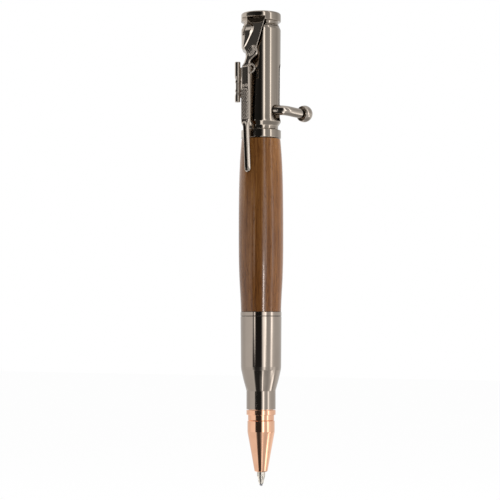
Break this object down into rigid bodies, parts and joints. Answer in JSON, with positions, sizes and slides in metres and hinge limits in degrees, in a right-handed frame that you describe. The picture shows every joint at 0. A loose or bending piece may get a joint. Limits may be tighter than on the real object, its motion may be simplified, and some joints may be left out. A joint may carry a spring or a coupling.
{
  "type": "ballpoint pen",
  "caption": "Bolt-action ballpoint pen: swelled wooden barrel, metal bolt housing with J-slot and ball-knob handle, rifle-shaped clip, bottleneck front case and bullet nib with a metal refill.",
  "frame": {"origin": "centre of the cap's flat end, on the pen's axis; the writing ball's lowest point is at z = -0.1365", "axes": "+Z along the pen's axis, from the writing end towards the cap's flat end; the clip faces -Y; the locked bolt handle stands near +X"},
  "size_m": [0.0193, 0.0182, 0.1365],
  "materials": {
    "gunmetal": "polished dark nickel plate",
    "copper": "polished copper plate",
    "wood": "turned, sealed with a soft gloss",
    "brass": "drawn tube",
    "refill_metal": "drawn and turned",
    "spring_steel": "drawn wire",
    "bolt_steel": "turned",
    "tungsten": "ground",
    "dark_plastic": "moulded",
    "ink": "paste"
  },
  "bodies": {
    "barrel_group": {"barrel": "wood", "barrel_tube": "brass", "front_coupler": "gunmetal", "cap_body": "gunmetal", "cap_head": "gunmetal"},
    "front_section": {"front_case": "gunmetal", "nib": "copper"},
    "carriage": {"push_rod": "bolt_steel", "refill_tube": "refill_metal", "refill_plug": "dark_plastic", "refill_nose": "refill_metal", "writing_tip": "refill_metal", "ink_column": "ink", "refill_spring": "spring_steel"},
    "bolt": {"bolt_core": "bolt_steel", "bolt_arm": "gunmetal", "bolt_knob": "gunmetal", "knob_screw": "bolt_steel"},
    "clip": {"rifle_clip": "gunmetal"},
    "ball": {"writing_ball": "tungsten"}
  },
  "joints": [
    {"name": "bolt_slide", "type": "slide", "parent": "barrel_group", "child": "carriage", "axis": [0, 0, 1], "range_m": [-0.0014, 0], "stiffness_N_per_m": 250, "springref_m": 0.006, "deforming": ["refill_spring"]},
    {"name": "bolt_turn", "type": "hinge", "parent": "carriage", "child": "bolt", "pos_m": [0, 0, -0.02865], "axis": [0, 0, 1], "range_deg": [0, 34.5]},
    {"name": "front_section_off", "type": "slide", "parent": "barrel_group", "child": "front_section", "axis": [0, 0, -1], "range_m": [0, 0.055]},
    {"name": "clip_flex", "type": "hinge", "parent": "barrel_group", "child": "clip", "pos_m": [0, -0.0025, -0.003], "axis": [-1, 0, 0], "range_deg": [0, 2], "stiffness_Nm_per_rad": 2},
    {"name": "ball_roll", "type": "hinge", "parent": "carriage", "child": "ball", "pos_m": [0, 0, -0.136], "axis": [1, 0, 0], "continuous": true}
  ]
}
